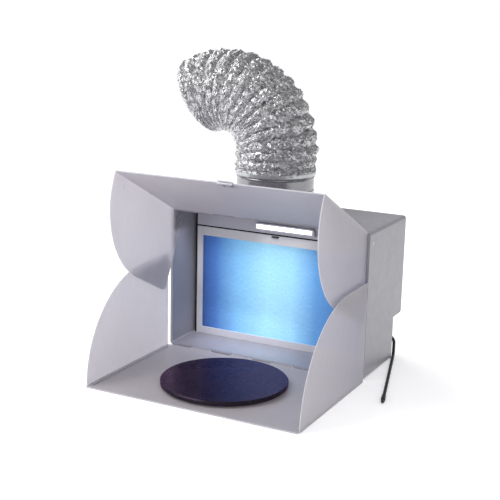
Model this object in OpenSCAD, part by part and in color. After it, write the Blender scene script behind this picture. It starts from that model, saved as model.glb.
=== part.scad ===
// Portable folding spray booth for airbrush work.
// Origin: middle of the casing's front face, on the table. +X right, +Y to the back, +Z up.
// The part is drawn open, as it stands when it is used.

/* [Casing] */
// Width of the casing
casing_w = 418; // [400:1:440]
// Depth of the casing, front to back
casing_d = 190; // [188:1:200]
// Height of the casing's top above the table
casing_h = 281; // [279:1:284]
// Thickness of the casing's side walls
side_wall = 4.4; // [4.2:0.1:4.6]
// Thickness of the casing's floor and top
flat_wall = 3.8; // [3.6:0.1:4]
// Height of the rubber feet
foot_h = 1.5; // [1.2:0.1:2]

/* [Hood] */
// Length of the hood from its hinge to its front edge
hood_len = 227; // [215:1:227]
// Rise of the open hood above level, in degrees
hood_rise = 26.7; // [26:0.1:28]
// Thickness of the hood sheet
hood_t = 2.4; // [2:0.1:2.6]
// Reach of the hood wings behind the hood's hinge
wing_tail = 41; // [38:1:41]
// Drop of the hood wings below the hood
wing_drop = 158; // [140:1:158]

/* [Tray] */
// Depth of the fold-down tray
tray_len = 290; // [286:1:290]
// Thickness of the tray sheet
tray_t = 2.2; // [2:0.1:2.4]
// Height of the side fans on the tray
fan_h = 190; // [170:1:190]
// Thickness of the side fans
sheet_t = 1.6; // [1.4:0.1:1.8]

/* [Turntable] */
// Diameter of the turntable
table_d = 233; // [180:1:236]
// Height of the turntable's top above the table
table_top = 15; // [14:0.5:18]

/* [Filter] */
// Width of the filter frame
filter_w = 395; // [390:1:396]
// Height of the filter frame
filter_h = 226; // [215:1:226]
// Distance of the filter frame behind the casing's front face
filter_y = 86; // [84:1:88]

/* [Outlet hose] */
// Outer diameter of the foil hose
hose_d = 158; // [150:1:158]
// Radius of the elbow's centre line
bend_r = 111; // [104:1:116]
// Angle that the hose turns through, in degrees
bend_angle = 118; // [90:1:120]
// Height of the elbow's centre above the table
bend_z = 396; // [380:1:410]

/* [Hidden] */

$fn = 64;
fit = 0.05;              // radial clearance of a running fit
gap = 0.2;               // clearance between parts that pass each other
eps = 0.5;               // overrun of a cut past the surface it opens

pp = [0.78, 0.77, 0.82];       // translucent sheet
pp_dark = [0.62, 0.61, 0.66];
black = [0.08, 0.08, 0.09];
steel = [0.72, 0.73, 0.75];
foil = [0.80, 0.80, 0.81];
blue = [0.20, 0.52, 0.88];
white = [0.93, 0.93, 0.94];
green = [0.10, 0.35, 0.20];

half_w = casing_w / 2;
inner_x = half_w - side_wall;
floor_top = foot_h + flat_wall;
ceiling = casing_h - flat_wall;
corner_r = 6;
inner_corner_r = 4;

// Hood hinge, on the top front edge
hinge_r = 2.2;
hinge_pin_r = 1.1;
hood_axis = [0, -2.4, casing_h];
hood_half = 200;
hinge_pitch = 45;
knuckle_l = 40;

// Hood wings: sheets that turn in their own plane on pins in the casing's sides
wing_x = 201.2;
wing_t = 2;
wing_front = 226;
wing_arc_r = 153;
wing_top = -1.2;
wing_round = 10;
wing_notch = 0.5;
pin_r = 2.5;
pin_head_r = 6;
pin_head_t = 0.9;
stow_y = 4.5;
stow_z = ceiling - 2.7;
// A hood-frame point is u along the hood and v below it
function hood_yz(u, v) = [
    -u * cos(hood_rise) - v * sin(hood_rise),
    casing_h + u * sin(hood_rise) - v * cos(hood_rise)
];
wing_turn = 90 + hood_rise;
tail_corner = hood_yz(-wing_tail, wing_top);
turned_corner = [
    tail_corner.x * cos(wing_turn) - tail_corner.y * sin(wing_turn),
    tail_corner.x * sin(wing_turn) + tail_corner.y * cos(wing_turn)
];
shift = [stow_y, stow_z] - turned_corner;
turn_c = 1 - cos(wing_turn);
turn_s = sin(wing_turn);
turn_n = turn_c * turn_c + turn_s * turn_s;
// The one point about which the open wing swings into the side pocket
pivot = [
    (turn_c * shift.x - turn_s * shift.y) / turn_n,
    (turn_s * shift.x + turn_c * shift.y) / turn_n
];

// Tray hinge, on the bottom front edge
tray_axis = [0, -3, 3.2];
tray_hinge_r = 2.4;
tray_pin_r = 1.2;
tray_z = 0.8;
tray_top = tray_z + tray_t;
tray_half = half_w + 0.2;
fan_x = half_w + 0.4;
fan_back = -8;
fan_flange_w = 9;
fan_flange_t = 1.2;
fan_len = 279;
rivet_r = 1.6;

// Turntable
table_y = -155;
table_r = table_d / 2;
table_t = 10;
base_t = 1.8;
base_r = 46;
spindle_r = 5;

// Filter frame
filter_z = floor_top + 0.2;
filter_t = 18;
frame_side = 12.5;
frame_bottom = 14;
frame_top_b = 18;
lip_t = 3;
pad_t = 10;
seal_x = filter_w / 2 + gap;
seal_w = 3;
seal_h = 2.4;
seal_d = 14;
seal_y = filter_y + 0.6;
lintel_z = filter_z + filter_h + 0.6 + seal_h;
lintel_half = seal_x - gap;
backing_y = filter_y + filter_t + 0.4;
backing_t = 2.6;

// Lamp
lamp_w = 120;
lamp_z = 248;
lamp_lens_h = 8;
lamp_d = 8;

// Outlet and hose
hose_r = hose_d / 2;
hose_t = 1.8;
footprint_x = 21.08;      // middle of the whole object, from the casing's middle
footprint_y = -47.635;
duct_x = -36.6;
duct_y = 109;
collar_r = hose_r - hose_t - 0.1;
collar_t = 1.2;
spigot_r = collar_r - collar_t - fit;
collar_z = casing_h + 20;
collar_top = 360;
hose_z = 352;
hose_tail = 4;
cuff_t = 0.3;
cuff_lap = 2;

// Blower
blower_x = duct_x + 42;
blower_y = 120;
blower_d = 58;
blower_z = 152;
scroll_r = 80;
shell_t = 2;
outlet_w = 76;
outlet_d = 54;
impeller_r = 60;
impeller_w = 40;
shaft_r = 2.5;
motor_r = 24;

// Cord recess in the right side, at the back
recess_y = 147;
recess_z = 88;
recess_x = 182;
corner_cut = 4;          // reach of the window past the rounded inner corner
cord_r = 3;
cord_y = 168;
cord_z = 40;
plug_r = 4;
barrel_r = 2.75;

module rounded_slab(w, h, r) {
    // A w by h rectangle on the X axis, with rounded corners
    translate([-w / 2 + r, 0]) square([w - 2 * r, h]);
    translate([-w / 2, r]) square([w, h - 2 * r]);
    for (x = [-w / 2 + r, w / 2 - r], y = [r, h - r]) translate([x, y]) circle(r);
}

// Stands a shape drawn in X and Z on the plane y, and gives it a depth to the back
module upright(y, depth) {
    translate([0, y + depth, 0]) rotate([90, 0, 0]) linear_extrude(depth) children();
}

// Stands a shape drawn in Y and Z on the plane x, and gives it a thickness to +X
module sideways(x, thick) {
    translate([x, 0, 0]) rotate([90, 0, 90]) linear_extrude(thick) children();
}

module rod_x(x, yz, r, l) { translate([x, yz.x, yz.y]) rotate([0, 90, 0]) cylinder(h = l, r = r); }
module rod_y(x, y, z, r, l) { translate([x, y, z]) rotate([-90, 0, 0]) cylinder(h = l, r = r); }

hood_yz_axis = [hood_axis.y, hood_axis.z];
tray_yz_axis = [tray_axis.y, tray_axis.z];

module casing() {
    color(pp_dark) difference() {
        union() {
            difference() {
                upright(0, casing_d) translate([0, foot_h])
                    rounded_slab(casing_w, casing_h - foot_h, corner_r);
                upright(-eps, casing_d + 2 * eps) translate([0, floor_top])
                    rounded_slab(2 * inner_x, ceiling - floor_top, inner_corner_r);
            }
            // Hood knuckles
            for (i = [-2:2]) {
                x = i * 2 * hinge_pitch - knuckle_l / 2;
                rod_x(x, hood_yz_axis, hinge_r, knuckle_l);
                translate([x, hood_axis.y, casing_h - 2]) cube([knuckle_l, -hood_axis.y + eps, 2]);
            }
            // Tray knuckles
            for (i = [-2:2]) {
                x = i * 2 * hinge_pitch - knuckle_l / 2;
                rod_x(x, tray_yz_axis, tray_hinge_r, knuckle_l);
                translate([x, tray_axis.y, tray_axis.z - 1.2]) cube([knuckle_l, -tray_axis.y + eps, 2.4]);
            }
            // Bosses that space the wings off the side walls
            for (s = [-1, 1])
                rod_x(s > 0 ? wing_x + wing_t + gap : -inner_x - eps, pivot, 7,
                    inner_x - wing_x - wing_t - gap + eps);
        }
        rod_x(-half_w, hood_yz_axis, hinge_pin_r + fit, casing_w);
        rod_x(-half_w, tray_yz_axis, tray_pin_r + fit, casing_w);
        for (s = [-1, 1]) rod_x(s > 0 ? wing_x : -half_w - eps, pivot, pin_r + fit, half_w - wing_x + eps);
        // Air outlet in the top
        translate([duct_x - outlet_w / 2 - 1, blower_y - 1, ceiling - eps])
            cube([outlet_w + 2, outlet_d + 2 * shell_t + 2, flat_wall + 2 * eps]);
        // Window for the cord recess
        translate([inner_x - corner_cut, recess_y, foot_h - eps])
            cube([side_wall + corner_cut + eps, casing_d - recess_y + eps, recess_z - foot_h + eps]);
        translate([recess_x - 2 * gap, recess_y, foot_h - eps])
            cube([half_w - recess_x, casing_d - recess_y + eps, flat_wall + 2 * eps]);
    }
}

cover_t = 3;
module cover_screw_places() {
    for (x = [-185, -60, 60, 165], z = [floor_top + 9, ceiling - 9])
        if (x < 160 || z > 100) translate([x, 0, z]) children();
}

module rear_cover() {
    color(pp_dark) difference() {
        union() {
            upright(casing_d - cover_t, cover_t) translate([0, floor_top + gap])
                rounded_slab(2 * inner_x - 2 * gap, ceiling - floor_top - 2 * gap, inner_corner_r);
            // Rails that take the screws, top and bottom
            for (z = [floor_top + gap, ceiling - gap - 3])
                translate([-190, casing_d - cover_t - 9, z]) cube([340, 9 + eps, 3]);
        }
        translate([recess_x - 2.2, casing_d - cover_t - 10, 0]) cube([60, 20, recess_z + 2.2]);
        cover_screw_places() rod_y(0, casing_d - cover_t - eps, 0, 1.7, cover_t + 2 * eps);
        // Cooling slots behind the motor
        for (i = [-4:4]) translate([blower_x + i * 9 - 1.5, casing_d - cover_t - eps, blower_z - 26])
            cube([3, cover_t + 2 * eps, 52]);
    }
}

module rear_cover_screws() {
    color(steel) cover_screw_places() {
        rod_y(0, casing_d - cover_t - 6, 0, 1.6, cover_t + 6);
        difference() {
            rod_y(0, casing_d, 0, 3, 1.6);
            for (a = [0, 90]) translate([0, casing_d + 1.2, 0]) rotate([0, a, 0])
                translate([-2, -0.5, -0.4]) cube([4, 1.6, 0.8]);
        }
    }
}

module rubber_feet() {
    color(black) for (x = [-1, 1], y = [22, 130])
        translate([x * 180, y, 0]) cylinder(h = foot_h, r = 8);
}

module hood_hinge_pin() {
    color(steel) rod_x(-hood_half, hood_yz_axis, hinge_pin_r, 2 * hood_half);
}

module tray_hinge_pin() {
    color(steel) rod_x(-hood_half - 1, tray_yz_axis, tray_pin_r, 2 * hood_half + 2);
}

// Shouldered pins: the head is inside the booth, the shank runs through wing and wall
module wing_pins() {
    color(steel) for (s = [-1, 1]) mirror([s < 0 ? 1 : 0, 0, 0]) {
        rod_x(wing_x - 0.1, pivot, pin_r, half_w - wing_x);
        rod_x(wing_x - 0.1 - pin_head_t, pivot, pin_head_r, pin_head_t);
    }
}

// Plate behind the filter that closes the air path, with a window for the air
module filter_backing() {
    color(pp_dark) difference() {
        upright(backing_y, backing_t) translate([-198, floor_top])
            square([396, ceiling - floor_top]);
        upright(backing_y - eps, backing_t + 2 * eps)
            translate([-184, filter_z + frame_bottom]) square([368, filter_h - frame_bottom - frame_top_b]);
    }
}

// Plate above the filter that carries the lamp
module lamp_lintel() {
    color(pp) difference() {
        union() {
            upright(filter_y, 2.4) translate([-lintel_half, lintel_z])
                square([2 * lintel_half, ceiling - lintel_z]);
            translate([-lintel_half, filter_y, lintel_z]) cube([2 * lintel_half, filter_t + 0.4, 2]);
        }
        for (x = [-48, 48]) rod_y(x, filter_y - eps, lamp_z, 1.6, 2.4 + 2 * eps);
    }
}

lamp_back = filter_y - lamp_d;
module lamp_housing() {
    color(pp) difference() {
        union() {
            upright(lamp_back, lamp_d) polygon([
                [-lamp_w / 2 - 6, lamp_z - 7], [lamp_w / 2 + 6, lamp_z - 7],
                [lamp_w / 2 + 2, lamp_z + 7], [-lamp_w / 2 - 2, lamp_z + 7]
            ]);
            for (x = [-48, 48]) rod_y(x, filter_y - eps, lamp_z, 1.5, 5);
        }
        translate([-lamp_w / 2, lamp_back - eps, lamp_z - lamp_lens_h / 2])
            cube([lamp_w, lamp_d - 1.6 + eps, lamp_lens_h]);
    }
}

module lamp_board() {
    color(white) {
        translate([-lamp_w / 2 + 1, filter_y - 3.4, lamp_z - 3.5]) cube([lamp_w - 2, 1.6, 7]);
        for (i = [0:11]) translate([-lamp_w / 2 + 8 + i * 9.4, filter_y - 4.6, lamp_z - 1.6])
            cube([3.2, 1.3, 3.2]);
    }
}

module lamp_lens() {
    color(white) translate([-lamp_w / 2 + 0.1, lamp_back - 0.8, lamp_z - lamp_lens_h / 2 + 0.1])
        cube([lamp_w - 0.2, 2.4, lamp_lens_h - 0.2]);
}

// Foam strip over the frame and down both its sides
module filter_seal() {
    color(black) {
        translate([-seal_x - seal_w, seal_y, filter_z + filter_h + 0.4])
            cube([2 * (seal_x + seal_w), seal_d, seal_h]);
        for (x = [-seal_x - seal_w, seal_x]) translate([x, seal_y, floor_top + gap])
            cube([seal_w, seal_d, ceiling - floor_top - 2]);
    }
}

module filter_opening(grow) {
    translate([-filter_w / 2 + frame_side - grow, filter_z + frame_bottom - grow])
        square([
            filter_w - 2 * frame_side + 2 * grow,
            filter_h - frame_bottom - frame_top_b + 2 * grow
        ]);
}

module filter_frame() {
    color(white) difference() {
        upright(filter_y, filter_t) translate([-filter_w / 2, filter_z]) square([filter_w, filter_h]);
        upright(filter_y - eps, filter_t + 2 * eps) filter_opening(0);
        upright(filter_y + lip_t, filter_t) filter_opening(6);
    }
}

module filter_pad() {
    color(blue) upright(filter_y + lip_t + 0.2, pad_t) filter_opening(5.6);
}

grille_pitch = 30;
module filter_grille() {
    z0 = filter_z + frame_bottom - 5.4;
    h = filter_h - frame_bottom - frame_top_b + 10.8;
    w = filter_w - 2 * frame_side + 10.8;
    y = filter_y + lip_t + pad_t + 0.6;
    color(white) difference() {
        translate([-w / 2, y, z0]) cube([w, 2.4, h]);
        for (i = [-6:5], j = [0:5]) translate([i * grille_pitch + 2, y - eps, z0 + 6 + j * 32])
            cube([grille_pitch - 4, 2.4 + 2 * eps, 28]);
    }
}

module filter_pull_tab() {
    color(black) translate([-29, filter_y - 2.2, filter_z + filter_h - 4.4]) cube([15, 2.1, 3.2]);
}

// Spiral case with its outlet up through the casing's top
module scroll_outline(grow) {
    translate([blower_x, blower_z]) circle(scroll_r + grow, $fn = 128);
    translate([duct_x - outlet_w / 2 - grow, blower_z])
        square([outlet_w + 2 * grow, ceiling - blower_z + 2]);
}

module blower_housing() {
    color(black) difference() {
        union() {
            upright(blower_y, blower_d) scroll_outline(0);
            // Screw ears
            for (a = [30, -45, -135]) rotate_about(a) rod_y(scroll_r + 5, blower_y, 0, 6, 6);
        }
        upright(blower_y - eps, blower_d - shell_t + eps) scroll_outline(-shell_t);
        rod_y(blower_x, blower_y, blower_z, motor_r + 1, blower_d + eps);
        for (a = [0:90:270]) rotate_about(a + 45) rod_y(30, blower_y + blower_d - shell_t - eps, 0, 1.6, 4);
        for (a = [30, -45, -135]) rotate_about(a) rod_y(scroll_r + 5, blower_y - eps, 0, 1.7, 8);
    }
}

// Turns children about the blower's axis, by a degrees from +X
module rotate_about(a) { translate([blower_x, 0, blower_z]) rotate([0, -a, 0]) children(); }

module blower_inlet_ring() {
    color(black) difference() {
        union() {
            upright(blower_y - 2.2, 2) difference() {
                scroll_outline(0);
                translate([-200, ceiling - 0.2]) square([400, 20]);
            }
            for (a = [30, -45, -135]) rotate_about(a) rod_y(scroll_r + 5, blower_y - 2.2, 0, 6, 2);
        }
        rod_y(blower_x, blower_y - 2.2 - eps, blower_z, 46, 3 + 2 * eps);
        for (a = [30, -45, -135]) rotate_about(a) rod_y(scroll_r + 5, blower_y - 3, 0, 1.7, 4);
    }
}

module blower_screws() {
    color(steel) for (a = [30, -45, -135]) rotate_about(a) {
        rod_y(scroll_r + 5, blower_y - 2.2, 0, 1.6, 9);
        rod_y(scroll_r + 5, blower_y - 4, 0, 3, 1.8);
    }
}

blade_n = 30;
impeller_y = blower_y + 6;
module impeller() {
    color(white) difference() {
        union() {
            rod_y(blower_x, impeller_y + impeller_w - 2, blower_z, impeller_r, 2);
            rod_y(blower_x, impeller_y + impeller_w - 12, blower_z, 9, 12);
            difference() {
                rod_y(blower_x, impeller_y, blower_z, impeller_r, 2);
                rod_y(blower_x, impeller_y - eps, blower_z, impeller_r - 9, 2 + 2 * eps);
            }
            for (i = [0:blade_n - 1]) rotate_about(i * 360 / blade_n)
                translate([impeller_r - 8.5, impeller_y + 0.5, 0]) rotate([0, 38, 0])
                translate([-0.6, 0, -0.6]) cube([8.6, impeller_w - 1, 1.2]);
        }
        rod_y(blower_x, impeller_y - eps, blower_z, shaft_r, impeller_w + 2 * eps);
    }
}

module motor_shaft() {
    color(steel) rod_y(blower_x, impeller_y + impeller_w - 14, blower_z, shaft_r, 20);
}

motor_y = impeller_y + impeller_w + 4;
module motor() {
    color(steel) difference() {
        union() {
            rod_y(blower_x, motor_y, blower_z, motor_r, 15);
            for (a = [0:90:270]) rotate_about(a + 45)
                translate([0, blower_y + blower_d, -4]) cube([34, 1.6, 8]);
        }
        rod_y(blower_x, motor_y - eps, blower_z, shaft_r + fit, 5);
        for (a = [0:90:270]) rotate_about(a + 45) rod_y(30, blower_y + blower_d - eps, 0, 1.6, 3);
    }
}

module motor_screws() {
    color(steel) for (a = [0:90:270]) rotate_about(a + 45) {
        rod_y(30, blower_y + blower_d - shell_t, 0, 1.5, 4);
        rod_y(30, blower_y + blower_d + 1.6, 0, 2.8, 1.4);
    }
}

module adapter_screw_places() {
    for (x = [-1, 1], y = [-1, 1]) translate([duct_x + x * 74, duct_y + y * 71, 0]) children();
}

module outlet_adapter() {
    color(pp_dark) difference() {
        union() {
            translate([duct_x - 81, duct_y - 78, casing_h]) cube([162, 156, 2.4]);
            translate([duct_x, duct_y, casing_h])
                cylinder(h = collar_z - casing_h, r = spigot_r + 1.1, $fn = 128);
            translate([duct_x, duct_y, casing_h]) cylinder(h = 52, r = spigot_r, $fn = 128);
        }
        translate([duct_x, duct_y, casing_h + 2.4]) cylinder(h = 60, r = spigot_r - 2, $fn = 128);
        intersection() {
            translate([duct_x, duct_y, casing_h - eps]) cylinder(h = 5, r = spigot_r - 2, $fn = 128);
            translate([duct_x - outlet_w / 2, blower_y + 1, casing_h - eps]) cube([outlet_w, outlet_d, 5]);
        }
        adapter_screw_places() translate([0, 0, casing_h - eps]) cylinder(h = 4, r = 1.8);
    }
}

module adapter_screws() {
    color(steel) adapter_screw_places() translate([0, 0, casing_h + 2.4]) {
        difference() {
            cylinder(h = 1.6, r = 3.2);
            for (a = [0, 90]) rotate(a) translate([-2.2, -0.4, 0.8]) cube([4.4, 0.8, 1]);
        }
        translate([0, 0, -2.4]) cylinder(h = 2.4, r = 1.7);
    }
}

module duct_collar() {
    color(steel) translate([duct_x, duct_y, collar_z + gap]) difference() {
        cylinder(h = collar_top - collar_z, r = collar_r, $fn = 128);
        translate([0, 0, -eps])
            cylinder(h = collar_top - collar_z + 2 * eps, r = collar_r - collar_t, $fn = 128);
    }
}

// The hose's wall, made thicker on both sides by grow
module hose_ring(grow) {
    difference() {
        circle(hose_r + grow, $fn = 128);
        circle(hose_r - hose_t - grow, $fn = 128);
    }
}

// Straight foot, elbow towards -X and a straight cuff that takes in the elbow's end
module foil_hose() {
    color(foil) {
        translate([duct_x, duct_y, hose_z]) linear_extrude(bend_z - hose_z) hose_ring(0);
        translate([duct_x - bend_r, duct_y, bend_z]) {
            rotate([90, 0, 0]) rotate_extrude(angle = bend_angle, $fn = 128)
                translate([bend_r, 0]) hose_ring(0);
            rotate([0, -bend_angle, 0]) translate([bend_r, 0, -cuff_lap])
                linear_extrude(hose_tail + cuff_lap) hose_ring(cuff_t);
        }
    }
}

module hose_clamp() {
    color(steel) {
        translate([duct_x, duct_y, hose_z + 1]) difference() {
            cylinder(h = 6, r = hose_r + 0.9, $fn = 128);
            translate([0, 0, -eps]) cylinder(h = 6 + 2 * eps, r = hose_r + 0.05, $fn = 128);
        }
        translate([duct_x, duct_y, 0]) rotate(70) translate([hose_r + 0.5, 0, hose_z]) difference() {
            translate([0, -7, 0]) cube([7, 14, 8]);
            translate([3.6, -7 - eps, 4]) rotate([-90, 0, 0]) cylinder(h = 14 + 2 * eps, r = 2.6);
        }
    }
}

module clamp_screw() {
    color(steel) translate([duct_x, duct_y, 0]) rotate(70)
        translate([hose_r + 4.1, 0, hose_z + 4]) rotate([-90, 0, 0]) {
            translate([0, 0, -8]) cylinder(h = 17, r = 2.5);
            translate([0, 0, 9]) cylinder(h = 4, r = 3.4, $fn = 6);
        }
}

// Puts children, drawn with x as u along the hood and z as height off its middle, in place
module on_hood() {
    translate(hood_axis) rotate([-hood_rise, 0, 0]) mirror([0, 1, 0]) children();
}

module hood_panel() {
    color(pp) on_hood() {
        difference() {
            union() {
                translate([-hood_half, hinge_r + 1.4, -hood_t / 2])
                    cube([2 * hood_half, hood_len - hinge_r - 1.4, hood_t]);
                for (i = [-2:1]) translate([(2 * i + 1) * hinge_pitch - knuckle_l / 2, 0, 0]) {
                    rotate([0, 90, 0]) cylinder(h = knuckle_l, r = hinge_r);
                    translate([0, 0, -hood_t / 2]) cube([knuckle_l, hinge_r + 2, hood_t]);
                }
            }
            translate([-hood_half - eps, 0, 0]) rotate([0, 90, 0])
                cylinder(h = 2 * hood_half + 2 * eps, r = hinge_pin_r + fit);
            // Rivet holes of the latch
            for (x = [-8, 8]) translate([latch_x + x, hood_len - 14, -hood_t])
                cylinder(h = 2 * hood_t, r = 1.6);
        }
    }
}

latch_x = 20.8;
module hood_latch() {
    color(pp_dark) on_hood() translate([latch_x, 0, hood_t / 2]) difference() {
        union() {
            translate([-14, hood_len - 21, 0]) cube([28, 27, 1.6]);
            translate([-14, hood_len + 0.3, -hood_t - 2]) cube([28, 2.4, hood_t + 2 + 1.6]);
            translate([-10, hood_len + 2.7, -hood_t - 2]) cube([20, 3.3, 1.6]);
        }
        for (x = [-8, 8]) translate([x, hood_len - 14, -eps]) cylinder(h = 3, r = 1.6);
    }
}

module latch_rivets() {
    color(steel) on_hood() for (x = [-8, 8]) translate([latch_x + x, hood_len - 14, 0]) {
        translate([0, 0, -hood_t / 2]) cylinder(h = hood_t + 1.6, r = 1.5);
        translate([0, 0, hood_t / 2 + 1.6]) cylinder(h = 0.9, r = 3);
        translate([0, 0, -hood_t / 2 - 0.8]) cylinder(h = 0.8, r = 3);
    }
}

wing_centre = wing_front - wing_arc_r;
clip_u = 188;
// Wing outline: x is u along the hood, y is v below it
module wing_outline() {
    difference() {
        union() {
            translate([-wing_tail + wing_round, wing_top])
                square([wing_tail - wing_round + wing_centre, wing_drop - wing_top]);
            translate([-wing_tail, wing_top + wing_round])
                square([wing_tail, wing_drop - wing_top - 2 * wing_round]);
            for (v = [wing_top + wing_round, wing_drop - wing_round])
                translate([-wing_tail + wing_round, v]) circle(wing_round);
            intersection() {
                translate([wing_centre, wing_drop - wing_arc_r]) circle(wing_arc_r, $fn = 180);
                translate([wing_centre - 1, wing_top]) square([wing_arc_r + 2, wing_drop - wing_top]);
            }
        }
        // Slot for the hood's clip
        translate([clip_u, 6]) square([1.8, 18]);
    }
}

module wing(side) {
    color(pp) difference() {
        sideways(side > 0 ? wing_x : -wing_x - wing_t, wing_t)
            translate([0, casing_h]) rotate(180 - hood_rise) wing_outline();
        rod_x(-half_w, pivot, pin_r + fit, casing_w);
        // Notch that clears the edge of the casing's top
        translate([-half_w, -wing_notch, ceiling - 3 * wing_notch]) cube([casing_w, 40, 20]);
    }
}

module left_wing() { wing(-1); }
module right_wing() { wing(1); }

module tray_panel() {
    color(pp) difference() {
        union() {
            translate([-tray_half, -tray_len, tray_z])
                cube([2 * tray_half, tray_len + tray_axis.y - tray_hinge_r - 1.4, tray_t]);
            for (i = [-2:1]) {
                x = (2 * i + 1) * hinge_pitch - knuckle_l / 2;
                rod_x(x, tray_yz_axis, tray_hinge_r, knuckle_l);
                translate([x, tray_axis.y - tray_hinge_r - 2, tray_z])
                    cube([knuckle_l, tray_hinge_r + 2, tray_t]);
            }
        }
        rod_x(-half_w, tray_yz_axis, tray_pin_r + fit, casing_w);
        fan_rivet_places() translate([0, 0, tray_z - eps]) cylinder(h = tray_t + 2 * eps, r = rivet_r);
    }
}

module fan_rivet_places() {
    for (s = [-1, 1], y = [-30, -110, -190, -268])
        translate([s * (fan_x - fan_flange_w / 2 - 0.5), y, 0]) children();
}

fan_centre = -fan_len - 6 + fan_h;
module fan_outline() {
    intersection() {
        union() {
            translate([fan_centre, 0]) square([fan_back - fan_centre, fan_h]);
            translate([fan_centre, 0]) circle(fan_h, $fn = 180);
        }
        translate([-tray_len, 0]) square([tray_len + fan_back, fan_h]);
    }
}

module fan(side) {
    color(pp) mirror([side < 0 ? 1 : 0, 0, 0]) {
        sideways(fan_x, sheet_t) translate([0, tray_z]) fan_outline();
        difference() {
            translate([fan_x - fan_flange_w, -fan_len, tray_top])
                cube([fan_flange_w + eps, fan_len - 20, fan_flange_t]);
            fan_rivet_places() translate([0, 0, tray_top - eps]) cylinder(h = 3, r = rivet_r);
        }
    }
}

module left_fan() { fan(-1); }
module right_fan() { fan(1); }

module fan_rivets() {
    color(white) fan_rivet_places() {
        translate([0, 0, tray_z]) cylinder(h = tray_t + fan_flange_t, r = rivet_r - 0.05);
        translate([0, 0, tray_top + fan_flange_t]) cylinder(h = 0.9, r = 3);
    }
}

module turntable_base() {
    color(black) translate([0, table_y, tray_top]) {
        difference() {
            cylinder(h = base_t, r = base_r);
            translate([0, 0, -eps]) cylinder(h = 0.5 + eps, r = base_r - 6);
        }
        cylinder(h = 10, r = spindle_r);
    }
}

module turntable_bearing() {
    color(white) translate([0, table_y, tray_top + base_t]) difference() {
        cylinder(h = 0.5, r = 14);
        translate([0, 0, -eps]) cylinder(h = 2, r = spindle_r + fit);
    }
}

edge_bevel = 1.4;
module turntable_disc() {
    z0 = table_top - table_t;
    color(black) translate([0, table_y, 0]) difference() {
        rotate_extrude($fn = 180) polygon([
            [0, z0 + 0.4], [table_r - 3, z0 + 0.4], [table_r, z0 + 3], [table_r, table_top - edge_bevel],
            [table_r - edge_bevel, table_top], [0, table_top]
        ]);
        translate([0, 0, z0]) cylinder(h = tray_top + 10.2 - z0, r = spindle_r + fit);
        // Groove round the rim
        translate([0, 0, table_top - 4.2]) difference() {
            cylinder(h = 0.8, r = table_r + 1, $fn = 180);
            translate([0, 0, -eps]) cylinder(h = 2, r = table_r - 0.7, $fn = 180);
        }
    }
}

cup_t = 1.8;
// Pocket in the back right corner, where the cord comes out
module cord_recess() {
    d = casing_d - recess_y - 0.2;
    w = half_w - recess_x - 0.6;
    color(pp_dark) difference() {
        translate([recess_x - 0.2, recess_y + 0.2, foot_h + 0.2]) cube([w, d, recess_z - foot_h - 0.4]);
        translate([recess_x - 0.2 + cup_t, recess_y + 0.2 + cup_t, foot_h + 0.2 - eps])
            cube([w, d, recess_z - foot_h - 0.4 - cup_t + eps]);
        // Seat of the switch and hole of the strain relief, in the inner wall
        translate([recess_x - 1, recess_y + 14, 62]) cube([4, 20, 13]);
        rod_x(recess_x - 1, [cord_y, cord_z], 4.5, 4);
    }
}

module switch_body() {
    color(black) difference() {
        union() {
            translate([recess_x - 14, recess_y + 14.2, 62.2]) cube([16, 19.6, 12.6]);
            translate([recess_x - 0.2 + cup_t, recess_y + 12.5, 60.5]) cube([1.4, 23, 16]);
        }
        translate([recess_x - 8, recess_y + 16, 64]) cube([14, 16, 9]);
        translate([rocker_pivot.x, rocker_pivot.y, rocker_pivot.z - trunnion_l / 2 - gap])
            cylinder(h = trunnion_l + 2 * gap, r = trunnion_r + fit);
    }
}

rocker_pivot = [recess_x - 1.6, recess_y + 24, 68.5];
trunnion_r = 1.2;
trunnion_l = 11.2;
// Rocker on two trunnions, dished in front
module switch_rocker() {
    color(black) translate(rocker_pivot) rotate([0, 0, 6]) {
        intersection() {
            translate([-3, -7.2, -4.2]) cube([9, 14.4, 8.4]);
            difference() {
                translate([-3, 0, -5]) cylinder(h = 10, r = 8.6);
                translate([16.4, 0, -6]) cylinder(h = 12, r = 12);
            }
        }
        translate([0, 0, -trunnion_l / 2]) cylinder(h = trunnion_l, r = trunnion_r);
    }
}

module strain_relief() {
    color(black) difference() {
        union() {
            rod_x(recess_x - 4, [cord_y, cord_z], 4.4, 12);
            rod_x(recess_x - 0.2 + cup_t, [cord_y, cord_z], 6, 1.5);
        }
        rod_x(recess_x - 5, [cord_y, cord_z], cord_r + fit, 20);
    }
}

// Cord: out of the strain relief, down at the mouth of the recess, then out over the table
cord_turn = 13;
cord_drop_x = half_w - 2.8;
cord_aim = -74;
cord_run = 225;

// Puts children at the start of the cord's run over the table, with +X along it
module on_table_run() {
    translate([cord_drop_x, cord_y, cord_r]) rotate(cord_aim) translate([cord_turn, 0, 0]) children();
}

module power_cord() {
    color(black) {
        rod_x(recess_x - 12, [cord_y, cord_z], cord_r, cord_drop_x - cord_turn - recess_x + 12);
        translate([cord_drop_x - cord_turn, cord_y, cord_z - cord_turn]) rotate([90, 0, 0])
            rotate_extrude(angle = 90) translate([cord_turn, 0]) circle(cord_r);
        translate([cord_drop_x, cord_y, cord_turn + cord_r])
            cylinder(h = cord_z - 2 * cord_turn - cord_r, r = cord_r);
        on_table_run() {
            translate([0, 0, cord_turn]) rotate([90, 180, 0])
                rotate_extrude(angle = 90) translate([cord_turn, 0]) circle(cord_r);
            rotate([0, 90, 0]) cylinder(h = cord_run, r = cord_r);
        }
    }
}

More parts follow.
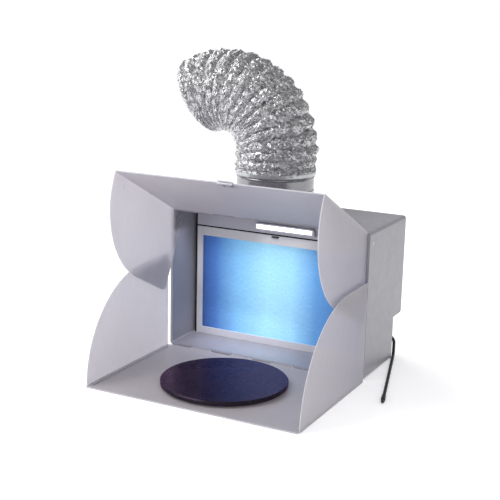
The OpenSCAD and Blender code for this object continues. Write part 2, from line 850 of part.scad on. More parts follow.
module dc_plug() {
    color(black) on_table_run() translate([cord_run + 0.2, 0, plug_r - cord_r]) rotate([0, 90, 0])
        difference() {
            union() {
                cylinder(h = 20, r = plug_r);
                cylinder(h = 29.5, r = barrel_r);
            }
            translate([0, 0, 22]) cylinder(h = 9.5, r = 1.05);
        }
}

module power_board() {
    color(green) {
        translate([110, blower_y + 52, 20]) cube([50, 1.6, 60]);
        for (z = [28, 52]) rod_y(126, blower_y + 42, z, 6, 10);
        translate([140, blower_y + 44, 30]) cube([12, 8, 30]);
    }
}

module board_spacers() {
    color(white) for (x = [114, 156], z = [24, 76])
        rod_y(x, blower_y + 53.6, z, 2.4, casing_d - cover_t - blower_y - 53.6);
}

translate([-footprint_x, -footprint_y, 0]) {
    casing();
    rear_cover();
    rear_cover_screws();
    rubber_feet();
    hood_hinge_pin();
    tray_hinge_pin();
    wing_pins();
    filter_backing();
    lamp_lintel();
    lamp_housing();
    lamp_board();
    lamp_lens();
    filter_seal();
    filter_frame();
    filter_pad();
    filter_grille();
    filter_pull_tab();
    blower_housing();
    blower_inlet_ring();
    blower_screws();
    impeller();
    motor_shaft();
    motor();
    motor_screws();
    outlet_adapter();
    adapter_screws();
    duct_collar();
    foil_hose();
    hose_clamp();
    clamp_screw();
    hood_panel();
    hood_latch();
    latch_rivets();
    left_wing();
    right_wing();
    tray_panel();
    left_fan();
    right_fan();
    fan_rivets();
    turntable_base();
    turntable_disc();
    turntable_bearing();
    cord_recess();
    switch_body();
    switch_rocker();
    strain_relief();
    power_cord();
    dc_plug();
    power_board();
    board_spacers();
}
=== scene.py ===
"""Looks for the folding spray booth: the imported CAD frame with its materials, foil, wadding and light."""
import math

import bpy
import numpy as np
from mathutils import Matrix, Vector

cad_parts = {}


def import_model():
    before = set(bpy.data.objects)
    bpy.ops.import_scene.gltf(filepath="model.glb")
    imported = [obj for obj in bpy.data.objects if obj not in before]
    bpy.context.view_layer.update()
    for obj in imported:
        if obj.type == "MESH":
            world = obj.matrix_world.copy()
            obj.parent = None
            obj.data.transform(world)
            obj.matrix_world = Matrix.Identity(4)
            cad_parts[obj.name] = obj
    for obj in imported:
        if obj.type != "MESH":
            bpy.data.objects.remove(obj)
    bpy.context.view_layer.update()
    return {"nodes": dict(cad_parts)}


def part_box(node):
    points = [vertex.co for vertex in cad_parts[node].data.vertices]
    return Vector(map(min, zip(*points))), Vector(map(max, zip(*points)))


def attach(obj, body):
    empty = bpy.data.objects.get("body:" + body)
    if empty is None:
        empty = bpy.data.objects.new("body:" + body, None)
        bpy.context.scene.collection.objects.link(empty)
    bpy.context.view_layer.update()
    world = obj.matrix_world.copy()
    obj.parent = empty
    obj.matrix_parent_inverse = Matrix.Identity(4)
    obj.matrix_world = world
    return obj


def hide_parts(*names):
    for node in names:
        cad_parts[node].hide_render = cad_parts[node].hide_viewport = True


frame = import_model()
NODES = frame["nodes"]
FOOTPRINT = Vector((0.02108, -0.047635, 0))  # origin of the frame, from the casing's middle


def from_casing(x, y, z):
    """A place measured from the middle of the casing's front, in the shared frame."""
    return Vector((x, y, z)) - FOOTPRINT


# ---------------------------------------------------------------- colours and node graphs


def srgb(r, g, b):
    """Linear colour of an 8-bit screen colour."""
    def channel(v):
        v /= 255
        return v / 12.92 if v <= 0.04045 else ((v + 0.055) / 1.055) ** 2.4
    return (channel(r), channel(g), channel(b), 1.0)


class Graph:
    """A material under construction: makes nodes and links them."""

    def __init__(self, name):
        self.mat = bpy.data.materials.new(name)
        self.mat.use_nodes = True
        self.tree = self.mat.node_tree
        self.tree.nodes.clear()
        self.out = self.tree.nodes.new("ShaderNodeOutputMaterial")
        self.coords = self.add("ShaderNodeTexCoord")

    def add(self, kind, **settings):
        node = self.tree.nodes.new(kind)
        for key, value in settings.items():
            setattr(node, key, value)
        return node

    def set(self, node, **inputs):
        """Sets inputs by name, with _ for a space; a socket value is linked."""
        for key, value in inputs.items():
            socket = node.inputs[key.replace("_", " ")]
            if isinstance(value, bpy.types.NodeSocket):
                self.tree.links.new(value, socket)
            else:
                socket.default_value = value
        return node

    def math(self, operation, a, b=0.0, clamp=False):
        node = self.add("ShaderNodeMath", operation=operation, use_clamp=clamp)
        for socket, value in zip(node.inputs, (a, b)):
            if isinstance(value, bpy.types.NodeSocket):
                self.tree.links.new(value, socket)
            else:
                socket.default_value = value
        return node.outputs[0]

    def point(self, scale=(1, 1, 1)):
        """Object-space position, scaled, so that a texture moves with its piece."""
        node = self.add("ShaderNodeMapping")
        self.set(node, Vector=self.coords.outputs["Object"], Scale=scale)
        return node.outputs[0]

    def noise(self, scale, detail=3.0, roughness=0.55, stretch=(1, 1, 1), distortion=0.0):
        node = self.add("ShaderNodeTexNoise")
        self.set(node, Vector=self.point(stretch), Scale=scale, Detail=detail,
                 Roughness=roughness, Distortion=distortion)
        return node.outputs["Fac"]

    def cells(self, scale, feature="F1", stretch=(1, 1, 1)):
        node = self.add("ShaderNodeTexVoronoi", feature=feature)
        self.set(node, Vector=self.point(stretch), Scale=scale)
        return node.outputs["Distance"]

    def ramp(self, fac, stops, mode="LINEAR"):
        """Colour ramp; stops are (place, colour) with grey given as one number."""
        node = self.add("ShaderNodeValToRGB")
        node.color_ramp.interpolation = mode
        elements = node.color_ramp.elements
        while len(elements) < len(stops):
            elements.new(0.5)
        for element, (place, colour) in zip(elements, stops):
            element.position = place
            element.color = colour if isinstance(colour, tuple) else (colour, colour, colour, 1)
        self.tree.links.new(fac, node.inputs[0])
        return node.outputs[0]

    def mix(self, fac, a, b, blend="MIX"):
        node = self.add("ShaderNodeMix", data_type="RGBA", blend_type=blend)
        for socket, value in ((node.inputs[0], fac), (node.inputs[6], a), (node.inputs[7], b)):
            if isinstance(value, bpy.types.NodeSocket):
                self.tree.links.new(value, socket)
            else:
                socket.default_value = value
        return node.outputs[2]

    def bump(self, height, depth, normal=None):
        """Bump from a 0 to 1 height; depth is in metres."""
        node = self.add("ShaderNodeBump")
        self.set(node, Height=height, Distance=depth, Strength=1.0)
        if normal is not None:
            self.set(node, Normal=normal)
        return node.outputs[0]

    def edge(self, radius):
        """1 on sharp edges and 0 on flats, for worn or light-catching edges."""
        bevel = self.add("ShaderNodeBevel", samples=4)
        self.set(bevel, Radius=radius)
        geometry = self.add("ShaderNodeNewGeometry")
        dot = self.add("ShaderNodeVectorMath", operation="DOT_PRODUCT")
        self.tree.links.new(bevel.outputs[0], dot.inputs[0])
        self.tree.links.new(geometry.outputs["Normal"], dot.inputs[1])
        return self.math("SUBTRACT", 1.0, self.math("POWER", dot.outputs["Value"], 6.0), clamp=True)

    def surface(self, shader):
        self.tree.links.new(shader, self.out.inputs[0])
        return self.mat


def moulded(name, colour, roughness=0.4, grain=900, depth=0.00004, mottle=0.06, edge_light=0.25,
            metallic=0.0, coat=0.0):
    """Moulded plastic, rubber or plain metal: fine grain, faint mottling and lighter edges."""
    g = Graph(name)
    dark = tuple(c * (1 - mottle) for c in colour[:3]) + (1,)
    light = tuple(min(1, c * (1 + mottle)) for c in colour[:3]) + (1,)
    base = g.ramp(g.noise(14, 4), [(0.3, dark), (0.7, light)])
    bright = tuple(min(1, c * 1.5 + 0.04) for c in colour[:3]) + (1,)
    base = g.mix(g.math("MULTIPLY", g.edge(0.0012), edge_light), base, bright)
    rough = g.ramp(g.noise(60, 3), [(0.3, max(0.05, roughness - 0.06)), (0.7, roughness + 0.06)])
    shader = g.add("ShaderNodeBsdfPrincipled")
    g.set(shader, Base_Color=base, Roughness=rough, Metallic=metallic, Coat_Weight=coat,
          Normal=g.bump(g.noise(grain, 2), depth))
    return g.surface(shader.outputs[0])


def brushed(name, colour, roughness=0.3, stretch=(1, 1, 30), scale=90, depth=0.00002):
    """Metal with fine drawn or turned lines."""
    g = Graph(name)
    lines = g.noise(scale, 5, 0.7, stretch)
    base = g.ramp(lines, [(0.25, tuple(c * 0.8 for c in colour[:3]) + (1,)), (0.75, colour)])
    rough = g.ramp(lines, [(0.2, roughness - 0.08), (0.8, roughness + 0.1)])
    shader = g.add("ShaderNodeBsdfPrincipled")
    g.set(shader, Base_Color=base, Roughness=rough, Metallic=1.0, Normal=g.bump(lines, depth))
    return g.surface(shader.outputs[0])


def frosted_sheet(name, colour, normal, see_through=0.26):
    """Frosted polypropylene sheet: lets some light through, and its cut edges carry a painted highlight."""
    g = Graph(name)
    dot = g.add("ShaderNodeVectorMath", operation="DOT_PRODUCT")
    g.set(dot, Vector=g.coords.outputs["Normal"])
    dot.inputs[1].default_value = normal
    flatness = g.math("ABSOLUTE", dot.outputs["Value"])
    cut_edge = g.math("LESS_THAN", flatness, 0.6)
    cloud = g.noise(7, 3, 0.5)
    dark = tuple(c * 0.93 for c in colour[:3]) + (1,)
    base = g.ramp(cloud, [(0.3, dark), (0.7, colour)])
    streaks = g.ramp(g.noise(40, 4, 0.6, (1, 6, 1)), [(0.35, 0.96), (0.65, 1.0)])
    base = g.mix(1.0, base, streaks, "MULTIPLY")
    # Painted highlight: the cut edges are mixed towards near-white.
    base = g.mix(g.math("MULTIPLY", cut_edge, 0.8), base, srgb(236, 235, 240))
    grain = g.bump(g.noise(1400, 2), 0.00003)
    body = g.add("ShaderNodeBsdfPrincipled")
    g.set(body, Base_Color=base, Roughness=0.34, Normal=grain, IOR=1.49)
    through = g.add("ShaderNodeBsdfTranslucent")
    g.set(through, Color=base, Normal=grain)
    soft = g.add("ShaderNodeMixShader")
    g.set(soft, Fac=0.52)
    g.tree.links.new(body.outputs[0], soft.inputs[1])
    g.tree.links.new(through.outputs[0], soft.inputs[2])
    clear = g.add("ShaderNodeBsdfTransparent")
    g.set(clear, Color=(0.92, 0.92, 0.95, 1))
    sheet = g.add("ShaderNodeMixShader")
    amount = g.math("MULTIPLY", g.math("SUBTRACT", 1.0, cut_edge), see_through)
    g.set(sheet, Fac=amount)
    g.tree.links.new(soft.outputs[0], sheet.inputs[1])
    g.tree.links.new(clear.outputs[0], sheet.inputs[2])
    return g.surface(sheet.outputs[0])


def turntable_black():
    """Black plastic with a fine leather-like grain, lighter edges and a slight gloss tinted violet as a
    painted reflection.
    """
    g = Graph("turntable_black")
    speck = g.cells(420)
    base = g.ramp(g.noise(30, 4), [(0.3, srgb(13, 13, 16)), (0.7, srgb(22, 21, 27))])
    base = g.mix(g.math("MULTIPLY", g.edge(0.001), 0.5), base, srgb(96, 96, 104))
    grain = g.bump(speck, 0.00009)
    fine = g.bump(g.noise(1600, 2), 0.00004, grain)
    rough = g.ramp(g.noise(45, 3), [(0.3, 0.24), (0.7, 0.34)])
    shader = g.add("ShaderNodeBsdfPrincipled")
    g.set(shader, Base_Color=base, Roughness=0.9, Normal=fine, Specular_IOR_Level=0.0)
    # Painted reflection: the gloss layer is tinted violet to stand for the filter's blue glow reflected in
    # the disc.
    painted_reflection_gloss = g.add("ShaderNodeBsdfAnisotropic")
    g.set(painted_reflection_gloss, Color=srgb(204, 166, 210), Roughness=rough, Normal=fine)
    fresnel = g.add("ShaderNodeFresnel")
    g.set(fresnel, IOR=1.47, Normal=fine)
    glossed = g.add("ShaderNodeMixShader")
    g.set(glossed, Fac=fresnel.outputs[0])
    g.tree.links.new(shader.outputs[0], glossed.inputs[1])
    g.tree.links.new(painted_reflection_gloss.outputs[0], glossed.inputs[2])
    return g.surface(glossed.outputs[0])


def wadding(half_width):
    """Blue polyester wadding, bright in the middle where the lamp shines on it."""
    g = Graph("blue_wadding")
    split = g.add("ShaderNodeSeparateXYZ")
    g.set(split, Vector=g.coords.outputs["Object"])
    across_pad = g.math("ADD", split.outputs["X"], FOOTPRINT.x)
    cloud = g.math("MULTIPLY", g.math("SUBTRACT", g.noise(22, 4), 0.5), 0.03)
    place = g.math("ADD", g.math("MULTIPLY", across_pad, 0.5 / half_width), 0.5)
    place = g.math("ADD", place, cloud, clamp=True)
    glow = g.ramp(place, [
        (0.00, srgb(40, 70, 134)), (0.09, srgb(68, 115, 186)), (0.23, srgb(126, 188, 232)),
        (0.40, srgb(164, 222, 249)), (0.54, srgb(156, 214, 246)), (0.68, srgb(96, 154, 212)),
        (0.86, srgb(66, 112, 184)), (1.00, srgb(46, 78, 146)),
    ])
    fibres = g.noise(160, 6, 0.75, (1, 1, 1), 1.6)
    threads = g.noise(420, 4, 0.7, (1, 1, 4), 0.8)
    tone = g.ramp(g.math("MULTIPLY", g.math("ADD", fibres, threads), 0.5), [(0.32, 0.82), (0.62, 1.06)])
    glow = g.mix(1.0, glow, tone, "MULTIPLY")
    shader = g.add("ShaderNodeBsdfPrincipled")
    normal = g.bump(threads, 0.0002, g.bump(fibres, 0.0004))
    g.set(shader, Base_Color=glow, Roughness=0.95, Normal=normal, Emission_Color=glow,
          Emission_Strength=0.40, Sheen_Weight=0.3, Sheen_Roughness=0.5)
    return g.surface(shader.outputs[0])


def crumpled_foil():
    """Bright aluminium foil with fine creases."""
    g = Graph("crumpled_foil")
    crease = g.cells(120, "F1")
    fine = g.cells(400, "F1")
    normal = g.bump(fine, 0.0005, g.bump(crease, 0.0011))
    tone = g.ramp(g.noise(120, 4), [(0.3, srgb(164, 164, 166)), (0.7, srgb(220, 220, 222))])
    rough = g.ramp(g.noise(200, 3), [(0.3, 0.23), (0.7, 0.40)])
    shader = g.add("ShaderNodeBsdfPrincipled")
    g.set(shader, Base_Color=tone, Metallic=1.0, Roughness=rough, Normal=normal)
    return g.surface(shader.outputs[0])


def lamp_glow(middle, half_width):
    """Diffusing lens, brightest in front of each light on the strip behind it."""
    g = Graph("lamp_glow")
    split = g.add("ShaderNodeSeparateXYZ")
    g.set(split, Vector=g.coords.outputs["Object"])
    centred = g.math("SUBTRACT", split.outputs["X"], middle)
    across = g.math("ABSOLUTE", g.math("MULTIPLY", centred, 1 / half_width))
    fade = g.ramp(across, [(0.0, 1.0), (0.86, 0.95), (1.0, 0.45)])
    shader = g.add("ShaderNodeBsdfPrincipled")
    pearl = g.ramp(g.noise(500, 2), [(0.3, srgb(240, 244, 250)), (0.7, srgb(255, 255, 255))])
    g.set(shader, Base_Color=pearl, Roughness=0.25, Emission_Color=fade, Emission_Strength=2.2,
          Normal=g.bump(g.noise(900, 2), 0.00003))
    return g.surface(shader.outputs[0])


def circuit(name, colour):
    """Solder mask with pale tracks."""
    g = Graph(name)
    tracks = g.ramp(g.cells(260, "DISTANCE_TO_EDGE"), [(0.02, 1.0), (0.06, 0.0)])
    base = g.mix(g.math("MULTIPLY", tracks, 0.35), colour, srgb(190, 196, 180))
    shader = g.add("ShaderNodeBsdfPrincipled")
    g.set(shader, Base_Color=base, Roughness=0.3, Normal=g.bump(tracks, 0.00005))
    return g.surface(shader.outputs[0])


# ---------------------------------------------------------------- mesh helpers


def mesh_object(name, verts, faces, material, smooth=True):
    mesh = bpy.data.meshes.new(name)
    mesh.from_pydata([tuple(v) for v in verts], [], faces)
    mesh.validate()
    mesh.polygons.foreach_set("use_smooth", [smooth] * len(mesh.polygons))
    mesh.materials.append(material)
    obj = bpy.data.objects.new(name, mesh)
    bpy.context.scene.collection.objects.link(obj)
    return obj


def grid_faces(rows, columns, wrap):
    """Quads of a rows by columns grid; wrap joins the last column to the first."""
    faces = []
    for r in range(rows - 1):
        for c in range(columns if wrap else columns - 1):
            d = (c + 1) % columns
            faces.append((r * columns + c, r * columns + d, (r + 1) * columns + d, (r + 1) * columns + c))
    return faces


def lathe(name, profile, centre, material, steps=160):
    """A closed profile of (radius, height) turned about a vertical axis."""
    verts = []
    for r, z in profile:
        for i in range(steps):
            a = 2 * math.pi * i / steps
            verts.append((centre.x + r * math.cos(a), centre.y + r * math.sin(a), z))
    faces = grid_faces(len(profile), steps, True)
    last = (len(profile) - 1) * steps
    faces += [(last + i, last + (i + 1) % steps, (i + 1) % steps, i) for i in range(steps)]
    return mesh_object(name, verts, faces, material)


def bevelled(node, width, material, segments=2):
    """A CAD node shown as it is, with its edges rounded and its material set."""
    obj = NODES[node]
    obj.data.materials.clear()
    obj.data.materials.append(material)
    if width:
        modifier = obj.modifiers.new("edges", "BEVEL")
        modifier.width = width
        modifier.segments = segments
        modifier.limit_method = "ANGLE"
        modifier.angle_limit = math.radians(35)
        modifier.harden_normals = False
    return obj


# ---------------------------------------------------------------- foil hose


def foil_hose(material):
    """Crumpled foil over a wire spiral: rounded ribs outside the bend, tight creases inside it."""
    rng = np.random.default_rng(7)
    low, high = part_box("foil_hose")
    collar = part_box("duct_collar")
    axis = (collar[0] + collar[1]) / 2
    radius = HOSE_R - 0.0012
    straight = BEND_Z - low.z
    arc = BEND_R * BEND_ANGLE
    length = straight + arc + HOSE_TAIL
    rows, columns = 16 * 7 + 1, 112
    s = np.linspace(0, length, rows)[:, None] * np.ones((1, columns))
    a = np.linspace(0, 2 * math.pi, columns, endpoint=False)[None, :] * np.ones((rows, 1))
    inner = slice(1, rows - 1)
    s[inner] += rng.uniform(-0.38, 0.38, s[inner].shape) * length / rows
    a += rng.uniform(-0.38, 0.38, a.shape) * 2 * math.pi / columns
    outward = np.cos(a)
    turning = (s > straight) & (s < straight + arc)
    stretch = np.where(turning, 1 + outward * radius / BEND_R, 1.0)
    # Wire spiral
    phase = s / RIB_PITCH - a / (2 * math.pi)
    rib = np.abs(np.sin(math.pi * phase))
    height = 0.0052 * np.clip(stretch, 0.3, 1.7) ** 0.9
    fade = np.clip(np.minimum(s, length - s) / 0.006, 0, 1)
    bulge = (rib ** 0.7 - 0.64) * height * (0.35 + 0.65 * fade)
    crumple = rng.normal(0, 1, s.shape) * 0.00095 * np.clip(stretch, 0.35, 1.3) * (0.3 + 0.7 * fade)
    lumps = sum(
        rng.uniform(0.4, 1) * np.sin(k * a + rng.uniform(0, 6) + m * s / length)
        for k, m in ((3, 9), (5, 17), (8, 26), (11, 41))
    ) * 0.0006 * fade
    r = radius + bulge + crumple + lumps
    # Section frame along the centre line
    turn = np.clip((s - straight) / BEND_R, 0, BEND_ANGLE)
    tail = np.clip(s - straight - arc, 0, None)
    foot = np.minimum(s, straight)
    out_x, out_z = np.cos(turn), np.sin(turn)
    centre_x = axis.x - BEND_R + BEND_R * out_x - tail * out_z
    centre_z = low.z + foot + BEND_R * out_z + tail * out_x
    x = centre_x + r * np.cos(a) * out_x
    z = centre_z + r * np.cos(a) * out_z
    y = axis.y + r * np.sin(a)
    verts = np.stack([x, y, z], -1).reshape(-1, 3)
    faces = []
    for i in range(rows - 1):
        for j in range(columns):
            k = (j + 1) % columns
            p, q, t, u = i * columns + j, i * columns + k, (i + 1) * columns + k, (i + 1) * columns + j
            faces += [(p, q, t), (p, t, u)] if (i + j) % 2 else [(p, q, u), (q, t, u)]
    obj = mesh_object("foil_hose_crumpled", verts, faces, material, smooth=False)
    shell = obj.modifiers.new("foil", "SOLIDIFY")
    shell.thickness = 0.0006
    shell.offset = -1
    return obj


HOSE_R = 0.079
BEND_R = 0.111
BEND_ANGLE = math.radians(118)
BEND_Z = 0.396
HOSE_TAIL = 0.004
RIB_PITCH = 0.018

foil = crumpled_foil()
hose = foil_hose(foil)
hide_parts("foil_hose")
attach(hose, "duct")


# ---------------------------------------------------------------- duct collar


def collar():
    """Sheet-metal collar with rolled beads and a turned hem."""
    low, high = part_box("duct_collar")
    centre = (low + high) / 2
    r = (high.x - low.x) / 2 - 0.0009
    wall = 0.0010
    steps = 90
    outer = []
    for i in range(steps + 1):
        z = low.z + (high.z - low.z) * i / steps
        bead = 0.0
        for place in BEADS:
            bead = max(bead, 0.0009 * max(0.0, 1 - ((z - low.z - place) / 0.0016) ** 2))
        outer.append((r + bead, z))
    inner = [(radius - wall, z) for radius, z in reversed(outer)]
    return lathe("collar_beaded", outer + inner, centre, COLLAR_METAL, 192)


BEADS = (0.006, 0.0135, 0.021, 0.0465, 0.0505)
COLLAR_METAL = brushed("collar_metal", srgb(158, 158, 161), 0.24, (26, 26, 1), 60)
collar_piece = collar()
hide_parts("duct_collar")
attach(collar_piece, "duct")


# ---------------------------------------------------------------- filter wadding


TUFT_WAVES = 26


def wadding_pad():
    """Slab of wadding, a little full between its edges, with tufts on its face."""
    low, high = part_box("filter_pad")
    rng = np.random.default_rng(11)
    columns, rows = 150, 88
    u = np.linspace(0, 1, columns)[None, :] * np.ones((rows, 1))
    v = np.linspace(0, 1, rows)[:, None] * np.ones((1, columns))
    crown = np.clip(np.minimum(np.minimum(u, 1 - u) * 12, np.minimum(v, 1 - v) * 7), 0, 1)
    soft = np.zeros_like(u)
    for _ in range(TUFT_WAVES):
        fx, fy = rng.uniform(4, 46, 2)
        across = np.sin(2 * math.pi * (fx * u + rng.uniform()))
        upward = np.sin(2 * math.pi * (fy * v + rng.uniform()))
        soft += across * upward
    front = low.y + 0.0006 + 0.0016 * (1 - np.sin(crown * math.pi / 2))
    front = front + 0.00007 * soft * crown + rng.normal(0, 0.00012, u.shape)
    front = np.maximum(front, low.y + 0.0001)
    x = low.x + u * (high.x - low.x)
    z = low.z + v * (high.z - low.z)
    back = np.full_like(x, high.y)
    face = np.stack([x, front, z], -1).reshape(-1, 3)
    rear = np.stack([x, back, z], -1).reshape(-1, 3)
    n = rows * columns
    faces = grid_faces(rows, columns, False)
    faces += [tuple(n + i for i in reversed(f)) for f in grid_faces(rows, columns, False)]
    rim = [c for c in range(columns)] + [r * columns + columns - 1 for r in range(1, rows)]
    rim += [(rows - 1) * columns + c for c in range(columns - 2, -1, -1)]
    rim += [r * columns for r in range(rows - 2, 0, -1)]
    for a, b in zip(rim, rim[1:] + rim[:1]):
        faces.append((b, a, n + a, n + b))
    obj = mesh_object("filter_wadding", np.vstack([face, rear]), faces,
                      wadding((high.x - low.x) / 2))
    return obj


pad = wadding_pad()
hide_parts("filter_pad")
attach(pad, "filter")


rubber = moulded("cord_rubber", srgb(22, 22, 24), 0.42, 1200, 0.00003, 0.1, 0.3)

# ---------------------------------------------------------------- CAD nodes and their materials

sheet_x = frosted_sheet("frosted_side_sheet", srgb(213, 209, 213), (1, 0, 0))
sheet_flat = frosted_sheet("frosted_tray_sheet", srgb(213, 209, 213), (0, 0, 1), 0.04)
HOOD_RISE = math.radians(26.7)
sheet_hood = frosted_sheet("frosted_hood_sheet", srgb(206, 202, 208),
                           (0, math.sin(HOOD_RISE), math.cos(HOOD_RISE)), 0.10)
shell = moulded("shell_plastic", srgb(146, 144, 151), 0.36, 1100, 0.00003, 0.02, 0.35)
panel = moulded("white_panel", srgb(222, 221, 226), 0.33, 900, 0.00003, 0.02, 0.2)
# Painted shadow: the lamp lintel and housing get a darker, bluer copy of the white panel, standing for the
# hood's shadow on them.
panel_painted_shadow = moulded("white_panel_painted_shadow", srgb(190, 189, 200), 0.36, 900, 0.00003, 0.02, 0.2)
# Painted shade: the cord recess gets a darker, bluer copy of the shell plastic, standing for the shade inside
# it.
shell_painted_shade = moulded("shell_plastic_painted_shade", srgb(104, 105, 118), 0.4, 1100, 0.00003, 0.02, 0.3)
steel = brushed("zinc_steel", srgb(200, 202, 204), 0.28, (20, 1, 1), 120)
black = moulded("black_plastic", srgb(26, 26, 28), 0.4, 1300, 0.00004, 0.1, 0.3)
seal = moulded("black_foam", srgb(12, 12, 13), 0.9, 700, 0.0003, 0.2, 0.0)
white_part = moulded("white_part", srgb(226, 226, 228), 0.35, 1000, 0.00003, 0.03, 0.1)
rivet = moulded("rivet_plastic", srgb(206, 205, 212), 0.35, 1000, 0.00003, 0.03, 0.3)

MATERIALS = {
    "left_wing": (sheet_x, 0.0004), "right_wing": (sheet_x, 0.0004),
    "left_fan": (sheet_x, 0.0004), "right_fan": (sheet_x, 0.0004),
    "tray_panel": (sheet_flat, 0.0005), "hood_panel": (sheet_hood, 0.0005),
    "casing": (shell, 0.0008), "rear_cover": (shell, 0.0006), "cord_recess": (shell_painted_shade, 0.0004),
    "outlet_adapter": (shell, 0.0006), "hood_latch": (rivet, 0.0004), "filter_backing": (shell, 0.0004),
    "filter_frame": (panel, 0.0010), "filter_grille": (white_part, 0.0003),
    "lamp_lintel": (panel_painted_shadow, 0.0004), "lamp_housing": (panel_painted_shadow, 0.0005),
    "turntable_disc": (turntable_black(), 0.0003), "turntable_base": (black, 0.0003),
    "turntable_bearing": (white_part, 0), "fan_rivets": (rivet, 0.0002),
    "filter_seal": (seal, 0.0003), "filter_pull_tab": (black, 0.0004),
    "rubber_feet": (rubber, 0.0004), "strain_relief": (rubber, 0.0003), "power_cord": (rubber, 0),
    "dc_plug": (black, 0.0003), "switch_body": (black, 0.0004), "switch_rocker": (black, 0.0004),
    "blower_housing": (black, 0.0004), "blower_inlet_ring": (black, 0.0003),
    "impeller": (white_part, 0), "board_spacers": (white_part, 0),
    "lamp_board": (circuit("lamp_circuit", srgb(225, 228, 226)), 0),
    "power_board": (circuit("power_circuit", srgb(26, 92, 54)), 0),
}
for node_name in NODES:
    if node_name == "lamp_lens":
        lens_low, lens_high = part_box("lamp_lens")
        bevelled(node_name, 0.0004, lamp_glow((lens_low.x + lens_high.x) / 2, (lens_high.x - lens_low.x) / 2))
    else:
        material, width = MATERIALS.get(node_name, (steel, 0.0002))
        bevelled(node_name, width, material)

# ---------------------------------------------------------------- stage, light and camera


def world():
    """Even white surroundings; shiny metal also sees soft dark and light patches in them."""
    scene_world = bpy.data.worlds.new("studio")
    scene_world.use_nodes = True
    tree = scene_world.node_tree
    tree.nodes.clear()
    out = tree.nodes.new("ShaderNodeOutputWorld")
    coords = tree.nodes.new("ShaderNodeTexCoord")
    noise = tree.nodes.new("ShaderNodeTexNoise")
    noise.inputs["Scale"].default_value = 3.4
    noise.inputs["Detail"].default_value = 3.0
    ramp = tree.nodes.new("ShaderNodeValToRGB")
    ramp.color_ramp.elements[0].position = 0.42
    ramp.color_ramp.elements[0].color = (0.05, 0.05, 0.05, 1)
    ramp.color_ramp.elements[1].position = 0.62
    ramp.color_ramp.elements[1].color = (0.76, 0.76, 0.77, 1)
    shiny = tree.nodes.new("ShaderNodeBackground")
    plain = tree.nodes.new("ShaderNodeBackground")
    plain.inputs[0].default_value = (0.98, 0.985, 1.0, 1)
    plain.inputs[1].default_value = WORLD_LIGHT
    white = tree.nodes.new("ShaderNodeBackground")
    white.inputs[0].default_value = (1, 1, 1, 1)
    path = tree.nodes.new("ShaderNodeLightPath")
    mix = tree.nodes.new("ShaderNodeMixShader")
    top = tree.nodes.new("ShaderNodeMixShader")
    link = tree.links.new
    link(coords.outputs["Generated"], noise.inputs["Vector"])
    link(noise.outputs["Fac"], ramp.inputs[0])
    link(ramp.outputs[0], shiny.inputs[0])
    link(path.outputs["Is Glossy Ray"], mix.inputs[0])
    link(plain.outputs[0], mix.inputs[1])
    link(shiny.outputs[0], mix.inputs[2])
    link(path.outputs["Is Camera Ray"], top.inputs[0])
    link(mix.outputs[0], top.inputs[1])
    link(white.outputs[0], top.inputs[2])
    link(top.outputs[0], out.inputs[0])
    bpy.context.scene.world = scene_world


def area_light(name, place, target, size, power, colour=(1, 1, 1), spread=180):
    data = bpy.data.lights.new(name, "AREA")
    data.shape = "RECTANGLE"
    data.size, data.size_y = size
    data.energy = power
    data.color = colour
    data.spread = math.radians(spread)
    obj = bpy.data.objects.new(name, data)
    obj.location = place
    obj.rotation_euler = (Vector(target) - Vector(place)).to_track_quat("-Z", "Y").to_euler()
    bpy.context.scene.collection.objects.link(obj)


def floor():
    g = Graph("studio_floor")
    shader = g.add("ShaderNodeBsdfPrincipled")
    paper = g.ramp(g.noise(3, 2), [(0.3, srgb(250, 250, 250)), (0.7, srgb(254, 254, 254))])
    g.set(shader, Base_Color=paper, Roughness=0.9, Specular_IOR_Level=0.0,
          Emission_Color=(1, 1, 1, 1), Emission_Strength=0.32)
    g.surface(shader.outputs[0])
    size = 6.0
    corners = [(-size, -size, 0), (size, -size, 0), (size, size, 0), (-size, size, 0)]
    obj = mesh_object("studio_floor", corners, [(0, 1, 2, 3)], g.mat)
    obj.location.z = -0.0002


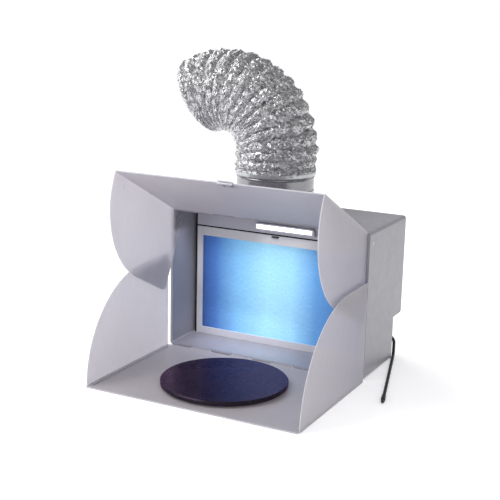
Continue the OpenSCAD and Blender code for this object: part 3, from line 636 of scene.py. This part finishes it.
CAMERA_TURN = (0.470790, 0.233904, 0.0243132)  # yaw, pitch and roll in radians
CAMERA_PLACE = (0.88749, -1.80892, 0.70239)
CAMERA_LENS = 78.92


def camera():
    """Camera at the photograph's angle."""
    yaw, pitch, roll = CAMERA_TURN
    forward = Vector((-math.sin(yaw) * math.cos(pitch), math.cos(yaw) * math.cos(pitch), -math.sin(pitch)))
    right = Vector((math.cos(yaw), math.sin(yaw), 0))
    up = right.cross(forward)
    level = right * math.cos(roll) + up * math.sin(roll)
    plumb = -right * math.sin(roll) + up * math.cos(roll)
    data = bpy.data.cameras.new("camera")
    data.lens = CAMERA_LENS
    data.sensor_width = 36
    obj = bpy.data.objects.new("camera", data)
    rotation = Matrix((level, plumb, -forward)).transposed().to_4x4()
    obj.matrix_world = Matrix.Translation(from_casing(*CAMERA_PLACE)) @ rotation
    bpy.context.scene.collection.objects.link(obj)
    bpy.context.scene.camera = obj


WORLD_LIGHT = 0.72
world()
floor()
area_light("key", (1.6, -1.6, 1.6), (0, 0, 0.2), (1.6, 1.6), 3.2)
area_light("fill", (-1.8, -1.4, 1.2), (0, 0, 0.2), (1.6, 1.6), 12)
area_light("back", (-1.5, 1.1, 1.3), (0, 0, 0.2), (1.4, 1.4), 17)
area_light("above", (-1.3, -0.9, 2.1), (-0.1, -0.1, 0.2), (1.2, 1.2), 22)
lamp_low, lamp_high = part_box("lamp_lens")
lamp_x = (lamp_low.x + lamp_high.x) / 2
area_light("lamp", (lamp_x, lamp_low.y - 0.004, lamp_low.z), (lamp_x, lamp_low.y - 0.07, 0.0),
           (0.11, 0.008), 0.02, (0.93, 0.97, 1.0), 120)
area_light("lamp_pool", (lamp_x - 0.05, lamp_low.y - 0.055, lamp_low.z - 0.004),
           (lamp_x - 0.05, lamp_low.y - 0.030, 0.0), (0.30, 0.050), 0.15, (0.90, 0.91, 1.0), 105)
area_light("floor_pool", (lamp_x - 0.08, lamp_low.y - 0.045, 0.10), (lamp_x - 0.08, lamp_low.y - 0.025, 0.0),
           (0.20, 0.030), 0.045, (0.90, 0.90, 1.0), 105)
camera()
bpy.context.scene.view_settings.view_transform = "Standard"
